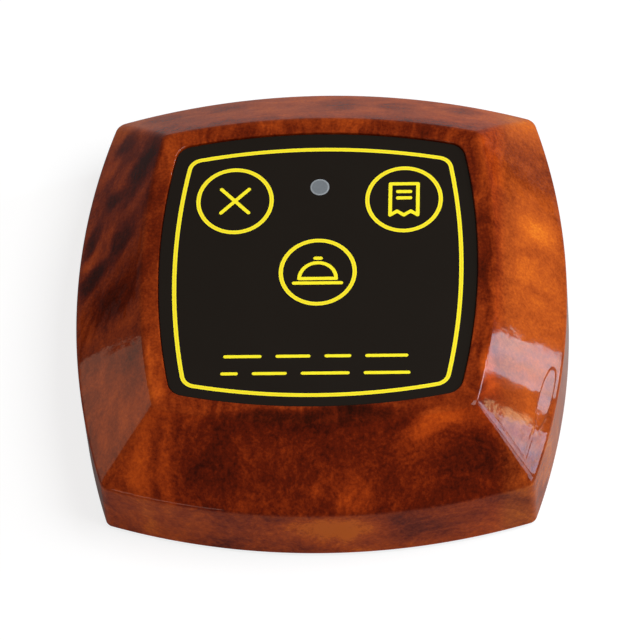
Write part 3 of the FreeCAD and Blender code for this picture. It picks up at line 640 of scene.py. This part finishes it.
# %% A new material, and the place on the object in mm
def new_material(name, **constants):
    """A material with a Principled shader. Returns it, its shader and the position in mm."""
    made = bpy.data.materials.new(name)
    made.use_nodes = True
    tree = made.node_tree
    shader = tree.nodes["Principled BSDF"]
    for socket, value in constants.items():
        shader.inputs[socket.replace("_", " ")].default_value = value
    place = tree.nodes.new("ShaderNodeTexCoord").outputs["Object"]
    place_mm = Wire(tree, place).node("ShaderNodeVectorMath", {0: Wire(tree, place), "Scale": 1 / MM},
                                      operation="SCALE")
    return made, shader, place_mm


def feed(shader, **inputs):
    """Link values to the shader's inputs, with underscores for the spaces in their names."""
    for name, wire in inputs.items():
        wire.tree.links.new(wire.socket, shader.inputs[name.replace("_", " ")])


def bump(height, distance_mm):
    """Small relief: a height of 1 stands this many millimetres proud."""
    return height.node("ShaderNodeBump", {"Height": height, "Distance": distance_mm * MM})


def put_on(obj, material):
    """Give the piece this one material."""
    if not obj.material_slots:
        obj.data.materials.append(material)
    for place in obj.material_slots:
        place.material = material
    print(f"{obj.name}: {material.name}")


# %% [markdown]
# ## Burl wood under lacquer
#
# Burl grows where a tree puts out hundreds of buds that never open. The grain flows round them, so
# a slice shows soft clouds from near black to bright orange, dark streaks, and here and there an eye
# with rings. The plastic housing is printed with such a picture and gets a thick gloss lacquer.
# Everything comes down to one number at each point, the tone of the wood, and a colour ramp turns
# that tone into a colour. There are two ramps, because the wood is redder on some sides.

# %% Two tools for the tone, and the colours
COLUMN, SPOT_FULL = 200, 0.8  # reach of a column in mm, and the fade from which a spot counts in full


def soft_spot(place, centre, reach, angle=0.0):
    """1 near the middle of an ellipse, falling to 0 at its edge. Without a height it is a column."""
    inside = place.node("ShaderNodeMapping", {"Vector": place, "Location": (*centre, 0)[:3],
                                              "Rotation": (0, 0, math.radians(angle)),
                                              "Scale": (*reach, COLUMN)[:3]}, vector_type="TEXTURE")
    fade = inside.node("ShaderNodeTexGradient", {"Vector": inside}, 1, gradient_type="SPHERICAL")
    return fade.between(0, SPOT_FULL)


def wood_grain(place, angle, length, width):
    """Streaks of the given length and width in mm, turned by an angle seen from above."""
    turned = place.node("ShaderNodeMapping", {"Vector": place, "Rotation": (0, 0, math.radians(angle)),
                                              "Scale": (length, width, width)}, vector_type="TEXTURE")
    return turned.noise(1, 4, 0.6)


BURL_STOPS = [(0.0, srgb(36, 8, 0)), (0.16, srgb(62, 15, 1)), (0.34, srgb(98, 30, 4)),
              (0.5, srgb(137, 54, 14)), (0.66, srgb(173, 76, 22)), (0.84, srgb(204, 98, 26)),
              (1.0, srgb(232, 130, 34))]
GREEN_KEPT, BLUE_KEPT = 0.71, 0.45
RED_STOPS = [(share, (red, green * GREEN_KEPT, blue * BLUE_KEPT, 1))
             for share, (red, green, blue, _) in BURL_STOPS]

# %% [markdown]
# ### Dark and bright places
#
# Noise alone puts its clouds anywhere. A person who prints wood picks the slice, so that an eye or a
# dark streak sits where it looks well. Soft ellipses do the same here: each one lifts the tone or
# lowers it round its own centre. A few of them paint light and shade into the tone: a painted sheen
# on the front part of the left flank, a painted reflection on the left skirt by the front corner,
# painted shade on the right rim and a painted dark reflection along the front top edge. Most are
# columns through the whole height. Those of the skirt, and two of the flanks, have a height too,
# because the skirt stands right below the flanks.

# %% The places: centre, reach along x, y (and z), angle, and what is added to the tone
SPOTS = {
    "right flank": [
        ((38, 0, 20), (13, 56, 14), 0, 0.26), ((38.5, 11), (5, 5), 0, 0.2),
        ((36.6, 1.3), (3, 4), 20, 0.08), ((36.5, 25), (7, 8), 0, -0.13)],
    "right rim": [
        # the middle spot on the next line is partly wood tone and partly painted shade: it darkens the flat
        # right rim, which gets less of the light from the right than the flank
        ((29.2, 20), (3.8, 13), 0, 0.24), ((29.2, 6), (3, 25), 0, -0.12), ((29.8, -20), (2.2, 6), 0, 0.24)],
    "left flank": [
        ((-35, 31), (5, 2.6), 66, -0.28), ((-31.5, 23), (9, 3.4), 62, -0.32),
        ((-37, 18), (4, 2), 62, -0.22), ((-35.2, 8.4), (8, 2.8), 66, -0.36),
        ((-40.4, 12.2), (5, 2), 66, -0.24), ((-40.4, 3), (5.5, 2.2), 60, -0.34),
        ((-35.7, -4), (7, 6), 0, -0.16), ((-38.5, 25.5), (5, 2.4), 62, 0.2),
        # the second spot on the next line is a painted sheen: it lightens the front part of the left flank,
        # on top of the left panel's real reflection there
        ((-40.8, 8), (4, 1.6), 66, 0.2), ((-36, -26), (8, 16), 10, 0.14)],
    "left rim": [
        ((-28.5, -22), (3.5, 10), 0, 0.18), ((-29.4, 8), (2.5, 20), 0, -0.06)],
    "front flank": [
        ((-29.5, -35), (3, 9), 5, 0.2), ((-25.6, -36), (1.8, 9), 0, 0.14),
        ((-17.5, -36), (6.5, 11), 0, -0.08), ((0, -34), (12, 6), 0, -0.08),
        # the two spots on the next line are partly wood tone and partly a painted dark reflection: a darker
        # band along the front top edge, in front of the film
        ((0, -30.5), (24, 3.5), 0, -0.14), ((0, -28.9), (26, 1.7), 0, -0.14),
        ((6.4, -40.6), (5, 2.8), 0, 0.18), ((19.5, -30.6), (9, 2), 18, 0.26),
        ((26.5, -35), (10, 5), 12, -0.17), ((35, -37.4, 15), (3, 3, 5), 45, 0.1)],
    "skirt": [
        ((2, -43, 9), (14, 6, 6), 0, 0.36), ((17, -42, 8), (10, 5, 7), 0, -0.18),
        ((34, -40, 5), (7, 5, 6), 0, 0.14), ((42, -30, 6), (4, 9, 9), 0, 0.16),
        # the first spot on the next line is partly wood tone and partly a painted reflection: it lightens the
        # left skirt by the front corner, where the floor shows in the gloss
        ((-42.5, -28, 7), (4, 14, 9), 0, 0.26), ((-25, -41, 7), (14, 5, 8), 0, 0.17)],
    "back flank": [
        ((33, 37), (9, 6), 0, 0.12), ((2, 37), (8, 4), 10, -0.2), ((13, 38), (6, 3), 10, -0.16),
        ((25, 37), (5, 3), 0, -0.2), ((-18, 38), (6, 3), 0, -0.16), ((-29, 36), (5, 3), 20, -0.2)],
}
print("dark and bright places:", {side: len(spots) for side, spots in SPOTS.items()})

# %% [markdown]
# ### From noise to tone
#
# A point's place is first bent by soft noise, so that everything made from it flows as grain does
# round a bud. Long streaks follow another direction on each flank, as if each were cut from its own
# board, and turn into rings round the eye. Clouds, mottle, fine veins and flecks are added at their
# own scales.

# %% Bent places, and which side a point is on
FLOW, SWAY = 7, 5  # mm, how far noise moves the grain and the spots
burl, burl_shader, at = new_material("burl_lacquer", Specular_IOR_Level=0.15)
drift = at.noise(11, 2, 0.5, output=1)
bent = at.node("ShaderNodeVectorMath", {0: drift, 1: (FLOW,) * 3, 2: at}, operation="MULTIPLY_ADD")
spotted = at.node("ShaderNodeVectorMath", {0: drift, 1: (SWAY,) * 3, 2: at}, operation="MULTIPLY_ADD")
spotted = at.node("ShaderNodeVectorMath", {0: spotted, 1: (SWAY / 2,) * 3}, operation="SUBTRACT")

x, y, z = (at.node("ShaderNodeSeparateXYZ", {"Vector": at}, axis) for axis in range(3))
# each side begins at the first place, in mm from the middle, and is fully there at the second
on = {"left": x.between(-22, -34), "back": y.between(28, 36), "right": x.between(30, 33),
      "front": y.between(-28, -32)}
on_skirt = z.between(CREASE_Z + 0.2, CREASE_Z - 0.6)
above_skirt = 1 - on_skirt
on_rim = z.between(RIM_Z - 0.5, RIM_Z - 0.2) * (1 - on["right"])


def by_side(shares):
    """Each side's share where a point is on that side. They add up where two sides meet."""
    first, *others = (on[side] * share for side, share in shares.items())
    return sum(others, first)


# %% Streaks and rings
streaks = wood_grain(bent, 90, 16, 1.6)
for side, angle, length, width in (("left", 62, 16, 2.2), ("back", 8, 16, 2.0), ("right", -20, 9, 1.6)):
    streaks = streaks + (wood_grain(bent, angle, length, width) - streaks) * on[side]
EYE, EYE_REACH, RING_RATE = (26, -34, 0), (24, 20), 0.55
from_eye = bent.node("ShaderNodeVectorMath", {0: bent, 1: EYE}, 1, operation="DISTANCE")
rings = from_eye.node("ShaderNodeCombineXYZ", {"X": from_eye * RING_RATE}).noise(1, 3, 0.6)
streaks = streaks + (rings - streaks) * soft_spot(at, EYE[:2], EYE_REACH).between(0, 0.5)

# %% The tone and the colour
MIDDLE_TONE, CLOUDS, MOTTLE, FLECKS, VEINS, FRONT_VEINS = 0.42, 0.62, 0.34, 0.4, 0.1, 0.3
SKIRT_LIFT, BACK_LIFT, SIDE_LIFTS = 0.26, 0.26, {"front": -0.05, "left": 0.05}
clouds, mottle, flecks = bent.noise(15, 3, 0.55), bent.noise(4.5, 4, 0.6), at.noise(0.5, 3, 0.65)
veins = wood_grain(bent, 90, 4, 0.9)
calm = 1 - by_side({"right": 0.6, "front": 0.45, "left": 0.3, "back": 0.4}) * above_skirt
tone = (clouds + streaks - 1) * calm * CLOUDS + (mottle - 0.5) * MOTTLE + (flecks - 0.5) * FLECKS
tone = tone + (veins - 0.5) * (on["front"] * FRONT_VEINS + VEINS) + MIDDLE_TONE
tone = tone + on_skirt * SKIRT_LIFT + on["back"] * above_skirt * BACK_LIFT + by_side(SIDE_LIFTS)
for spots in SPOTS.values():
    for centre, reach, angle, amount in spots:
        tone = tone + soft_spot(spotted, centre, reach, angle) * amount
less_red = (by_side({"back": 0.5, "left": 0.25}) + on_rim * 0.35) * above_skirt + on["right"] * 0.9
wood = (1 - less_red).mix(tone.node("ShaderNodeValToRGB", {"Fac": tone}, stops=BURL_STOPS),
                          tone.node("ShaderNodeValToRGB", {"Fac": tone}, stops=RED_STOPS))

# %% [markdown]
# ### The lacquer
#
# Thick lacquer is never quite flat. It lies in soft waves, which bend every reflection a little, and
# it sinks here and there as it dries. On the right flank there are two such marks: a slim leaf whose
# face is tilted, and a groove that runs beside the corner edge and the crease, like a V.

# %% Waves, the leaf and the groove, as relief
LACQUER_RELIEF = 0.04  # mm
LEAF_CENTRE, LEAF_REACH, LEAF_ANGLE, LEAF_TILT, LEVEL_Y = (39.2, -20.8), (1.4, 9), -13, 0.6, -14
# the distances from the corner edge and the crease, each times its rate: the less is 1 in the groove
CORNER_RATE, CREASE_RATE, GROOVE_DEPTH = 0.42, 0.43, 0.35
waves = at.noise(5.5, 1) + at.noise(1.8, 2) * 0.3
leaf = soft_spot(at, LEAF_CENTRE, LEAF_REACH, LEAF_ANGLE).between(0.2, 0.4)
from_edges = x.maths("MINIMUM", (x + y) * CORNER_RATE, (z - CREASE_Z) * CREASE_RATE)
groove = from_edges.between(0.88, 0.98) * from_edges.between(1.16, 1.06) * y.between(-27, -29) * on["right"]
lacquer = waves - leaf * (y - LEVEL_Y) * LEAF_TILT + groove * GROOVE_DEPTH
feed(burl_shader, Base_Color=wood, Roughness=at.noise(9, 3) * 0.04 + 0.03,
     Normal=bump(lacquer, LACQUER_RELIEF))
put_on(housing, burl)
print("nodes in the wood:", len(burl.node_tree.nodes))

# %% [markdown]
# ## Film, ink and window
#
# The film has a fine matt texture and a warm black. The ink is denser in the middle of each line,
# and its thin blue-black edge comes from the stored distance.

# %% Film
film_black, film_shader, at = new_material("matt_black_film", Specular_IOR_Level=0.1)
texture, cloud = at.noise(0.35, 3, 0.6), at.noise(14, 2)
black = cloud.mix(srgb(24, 18, 12), srgb(28, 22, 16))
feed(film_shader, Base_Color=black, Roughness=texture * 0.12 + 0.5, Normal=bump(texture, 0.004))
for sheet in (film, *film_patches):
    put_on(sheet, film_black)

# %% Ink
yellow, ink_shader, at = new_material("yellow_ink", Specular_IOR_Level=0.1)
offset = at.node("ShaderNodeAttribute", {}, 2, attribute_name="from_middle")
density = at.noise(0.8, 3)
plain = density.mix(srgb(255, 234, 36), srgb(255, 242, 52))
cored = offset.between(0.11, 0.03).mix(plain, srgb(244, 206, 40))
edged = offset.between(LINE_HALF, LINE_HALF + 0.06).mix(cored, srgb(6, 4, 30))
feed(ink_shader, Base_Color=edged, Roughness=density * 0.1 + 0.45)
for line in ink:
    put_on(line, yellow)

# %% Window
tint, tint_shader, at = new_material("window_tint", Specular_IOR_Level=0.4)
from_axis = at.node("ShaderNodeVectorMath", {0: at, 1: (*window_centre, FILM_TOP)}, 1, operation="DISTANCE")
haze = at.noise(0.5, 3)
grey = haze.mix(srgb(108, 113, 117), srgb(122, 127, 131))
rimmed = from_axis.between(window_radius - 0.4, window_radius - 0.2).mix(grey, srgb(148, 153, 157))
edged = from_axis.between(window_radius - 0.12, window_radius).mix(rimmed, srgb(70, 70, 70))
feed(tint_shader, Base_Color=edged, Roughness=haze * 0.1 + 0.3)
put_on(window, tint)

# %% [markdown]
# ## The other pieces
#
# The base, the feet and the screws show underneath, and the rest is inside. Their shapes are right
# as they are. Each finish is one call: two close colours in blotches, a roughness that varies
# with them, and the fine relief of moulding, rolling or plating.


# %% Finishes from a few numbers
def finish_of(name, dark, light, roughness, blotch, relief, **constants):
    """A finish whose colour and roughness vary softly, with a fine relief."""
    made, shader, at = new_material(name, **constants)
    blotches, fine = at.noise(blotch, 4), at.noise(blotch / 12, 3)
    feed(shader, Base_Color=blotches.mix(srgb(*dark), srgb(*light)),
         Roughness=blotches * 0.12 + (roughness - 0.06), Normal=bump(fine, relief))
    return made


def each_switch(*parts):
    """The names of these parts of the three switches."""
    return tuple(f"{name}_switch_{part}" for name in key_centres for part in parts)


METAL, HALF_METAL, COPPER_UNDER_MASK = {"Metallic": 1.0}, {"Metallic": 0.4}, {"Metallic": 0.8}
SPRINGS = tuple(spring.name for spring in springs)
# finish: its pieces, dark and light colour, roughness, width of a blotch and relief in mm, constants
FINISHES = {
    "moulded_black": (("base_cover",), (24, 24, 25), (32, 32, 33), 0.55, 5.0, 0.02, {}),
    "foot_rubber": (("rubber_feet",), (20, 20, 21), (28, 28, 28), 0.85, 2.0, 0.02, {}),
    "zinc_steel": (("case_screws",), (176, 178, 182), (200, 201, 203), 0.32, 1.0, 0.003, METAL),
    "adhesive_film": (("overlay_adhesive",), (208, 204, 188), (220, 216, 202), 0.4, 6.0, 0.004, {}),
    "key_plastic": (("call_key", "cancel_key", "check_key"), (216, 216, 208), (226, 226, 220),
                    0.4, 3.0, 0.004, {}),
    "switch_black": (each_switch("base", "stem"), (22, 22, 23), (32, 32, 33), 0.5, 1.5, 0.004, {}),
    "tinned_steel": (each_switch("plate", "legs") + ("led_leads", "encoder_legs"),
                     (190, 190, 190), (212, 212, 211), 0.28, 1.0, 0.002, METAL),
    "spring_steel": ((*SPRINGS, "battery_spring"), (178, 174, 168), (204, 200, 194), 0.25, 0.8, 0.002, METAL),
    "solder_mask": (("circuit_board",), (8, 84, 40), (14, 98, 50), 0.3, 8.0, 0.004, {}),
    "masked_copper": (("antenna_track",), (150, 92, 52), (180, 112, 66), 0.35, 2.0, 0.003, COPPER_UNDER_MASK),
    "red_resin": (("led_lens",), (150, 22, 18), (172, 30, 24), 0.2, 1.5, 0.002, {}),
    "chip_resin": (("encoder_chip", "rf_transistor"), (24, 24, 26), (34, 34, 36), 0.6, 0.8, 0.006, {}),
    "plated_lid": (("saw_resonator",), (196, 194, 188), (214, 212, 206), 0.3, 1.5, 0.002, METAL),
    "fired_ceramic": (("chip_resistors", "chip_capacitors"), (140, 108, 76), (168, 132, 96),
                      0.45, 0.4, 0.003, {}),
    "cell_sleeve": (("battery",), (70, 76, 84), (84, 90, 98), 0.3, 4.0, 0.003, HALF_METAL),
    "holder_black": (("battery_holder",), (26, 26, 27), (36, 36, 37), 0.5, 3.0, 0.008, {}),
    "nickel_plate": (("battery_contact_plus", "battery_contact_minus"), (192, 190, 182), (212, 210, 202),
                     0.25, 1.2, 0.002, METAL),
}
dressable = {**nodes, **{spring.name: spring for spring in springs}}
for finish, (dressed, dark, light, rough, blotch, relief, constants) in FINISHES.items():
    made = finish_of(finish, dark, light, rough, blotch, relief, **constants)
    for node in dressed:
        put_on(dressable[node], made)
replaced = {"top_cover", "graphic_overlay", "led_window", *each_switch("dome")}
undressed = set(nodes) - replaced - {node for entry in FINISHES.values() for node in entry[0]}
print("nodes without a finish:", sorted(undressed))

# %% [markdown]
# ## Floor, light and camera
#
# The object stands on a pale floor under a pale sky. Light Path lifts both to white, or nearly, for
# the camera alone, so that a white background takes no extra light on the object, and the floor
# keeps its soft shadow. In the lacquer the floor near the object is lifted a little, too.
#
# A large soft box overhead gives most of the light. Gloss shows what stands round the object, so the
# rest of the light is a room: a tall window on the right, made of two panes with a bit of curtain
# between them, its upper light and the pale wall beside it, a pale panel in front and a wide low one
# on the left. The camera looks down from the front with a long lens, as for a catalogue.

# %% The floor
FLOOR_REACH, FLOOR_GREY, FLOOR_FOR_CAMERA = 5.0, 0.26, 0.79
NEARBY, FAR_OFF, FLOOR_IN_GLOSS = 0.45, 0.72, 0.05
bpy.ops.mesh.primitive_plane_add(size=2 * FLOOR_REACH, location=(0, 0, 0))
floor = bpy.context.object
floor.name = "floor"


def ray_kinds(tree):
    """Light Path in this node tree: 1 for a ray of the camera, of gloss, or through glass."""
    paths = tree.nodes.new("ShaderNodeLightPath")
    return [Wire(tree, paths.outputs[f"Is {kind} Ray"]) for kind in ("Camera", "Glossy", "Transmission")]


pale = bpy.data.materials.new("pale_floor")
pale.use_nodes = True
tree = pale.node_tree
tree.nodes.remove(tree.nodes["Principled BSDF"])
camera_ray, glossy_ray, glass_ray = ray_kinds(tree)
place = Wire(tree, tree.nodes.new("ShaderNodeTexCoord").outputs["Object"])
away = place.node("ShaderNodeVectorMath", {0: place}, 1, operation="LENGTH")
in_gloss = (glossy_ray + glass_ray) * away.between(FAR_OFF, NEARBY) * FLOOR_IN_GLOSS
diffuse = place.node("ShaderNodeBsdfDiffuse", {"Color": (FLOOR_GREY, FLOOR_GREY, FLOOR_GREY, 1)})
glow = place.node("ShaderNodeEmission", {"Color": (1, 1, 1, 1),
                                         "Strength": camera_ray * FLOOR_FOR_CAMERA + in_gloss})
both = place.node("ShaderNodeAddShader", {0: diffuse, 1: glow})
tree.links.new(both.socket, tree.nodes["Material Output"].inputs["Surface"])
put_on(floor, pale)

# %% The sky
SKY_LIGHT, SKY_FOR_CAMERA, SKY_COLOUR = 0.22, 0.78, (1, 0.97, 0.93, 1)
world = bpy.data.worlds.new("studio")
bpy.context.scene.world = world
world.use_nodes = True
background = world.node_tree.nodes["Background"]
strength = ray_kinds(world.node_tree)[0] * SKY_FOR_CAMERA + SKY_LIGHT
world.node_tree.links.new(strength.socket, background.inputs["Strength"])
background.inputs["Color"].default_value = SKY_COLOUR


# %% Lamps
def soft_light(name, azimuth, elevation, distance, width, height, watts, colour):
    """A rectangular lamp that faces the object. Azimuth runs clockwise from the back, in degrees."""
    lamp = bpy.data.lights.new(name, "AREA")
    lamp.shape, lamp.size, lamp.size_y = "RECTANGLE", width, height
    lamp.energy, lamp.color = watts, colour
    made = bpy.data.objects.new(name, lamp)
    bpy.context.scene.collection.objects.link(made)
    turn, lift = math.radians(azimuth), math.radians(elevation)
    towards = Vector((math.sin(turn) * math.cos(lift), math.cos(turn) * math.cos(lift), math.sin(lift)))
    made.location = towards * distance
    made.rotation_euler = towards.to_track_quat("Z", "Y").to_euler()
    return made


def dapple(lamp, low, high, first, second, size):
    """Let the lamp's strength and colour vary softly over its face, as light does behind leaves."""
    lamp.data.use_nodes = True
    tree = lamp.data.node_tree
    emission = tree.nodes["Emission"]
    face = Wire(tree, tree.nodes.new("ShaderNodeNewGeometry").outputs["Parametric"])
    strength = face.noise(size, 4, 0.6).between(0.35, 0.65) * (high - low) + low
    colour = face.noise(size * 0.7, 3).between(0.4, 0.6).mix((*first, 1), (*second, 1))
    tree.links.new(strength.socket, emission.inputs["Strength"])
    tree.links.new(colour.socket, emission.inputs["Color"])


WHITE, SKY_BLUE, SUN, CREAM = (1, 1, 1), (0.75, 0.85, 1.0), (1, 0.95, 0.8), (1.0, 0.86, 0.66)
# name: azimuth, elevation, distance, width and height in metres, watts, colour
LAMPS = {
    "soft_box": (97, 60, 0.9, 0.5, 0.5, 6.3, WHITE),
    "window_pane_back": (69.6, 11, 0.8, 0.074, 0.17, 0.64, WHITE),
    "window_pane_front": (80.0, 12, 0.8, 0.084, 0.16, 0.64, WHITE),
    "window_curtain": (76.3, 11.3, 0.8, 0.022, 0.013, 0.018, WHITE),
    "window_top": (70.5, 28, 0.8, 0.09, 0.14, 1.0, (0.7, 0.85, 1.0)),
    "window_side": (98, 20, 0.8, 0.3, 0.16, 1.3, SKY_BLUE),
    "window_glint": (67.2, 9.4, 0.8, 0.014, 0.0008, 0.0014, SUN),
    "front_panel": (204, 12, 0.8, 0.22, 0.14, 0.5, (1, 0.86, 0.72)),
    "left_panel": (280.5, 5.3, 0.8, 0.355, 0.15, 0.23, CREAM),
}
lamps = {name: soft_light(name, *row) for name, row in LAMPS.items()}
print("lamps, watts:", {name: row[5] for name, row in LAMPS.items()})
# lowest and highest strength, the two colours and the size of a blotch as a share of the face
dapple(lamps["window_pane_back"], 0.85, 1.15, (0.4, 0.75, 1), (0.6, 0.76, 0.8), 0.3)
dapple(lamps["window_pane_front"], 0.8, 1.2, (0.5, 0.7, 1), (0.7, 0.75, 0.8), 0.3)
dapple(lamps["window_curtain"], 0.2, 1.5, (1, 0.8, 0.45), (1, 0.7, 0.35), 0.12)

# %% Camera
CAMERA_LIFT, CAMERA_TURN, CAMERA_ROLL = math.radians(58.78), math.radians(6.27), math.radians(-5.95)
CAMERA_AWAY, CAMERA_AIM = 1.0105, Vector((0, 0, 0.013))
SENSOR_WIDTH, LENS, SHIFT = 36.0, 325.2, (-0.00245, -0.0248)
towards = Vector((math.sin(CAMERA_TURN) * math.cos(CAMERA_LIFT),
                  -math.cos(CAMERA_TURN) * math.cos(CAMERA_LIFT), math.sin(CAMERA_LIFT)))
level = Vector((math.cos(CAMERA_TURN), math.sin(CAMERA_TURN), 0))
upright = towards.cross(level)
right = level * math.cos(CAMERA_ROLL) + upright * math.sin(CAMERA_ROLL)
up = upright * math.cos(CAMERA_ROLL) - level * math.sin(CAMERA_ROLL)
camera_data = bpy.data.cameras.new("camera")
camera_data.sensor_width, camera_data.lens = SENSOR_WIDTH, LENS
camera_data.shift_x, camera_data.shift_y = SHIFT
camera = bpy.data.objects.new("camera", camera_data)
bpy.context.scene.collection.objects.link(camera)
camera.rotation_euler = Matrix((right, up, towards)).transposed().to_euler()
camera.location = CAMERA_AIM + towards * CAMERA_AWAY
bpy.context.scene.camera = camera
bpy.context.scene.view_settings.view_transform = "Standard"
print("camera, m:", tuple(camera.location))
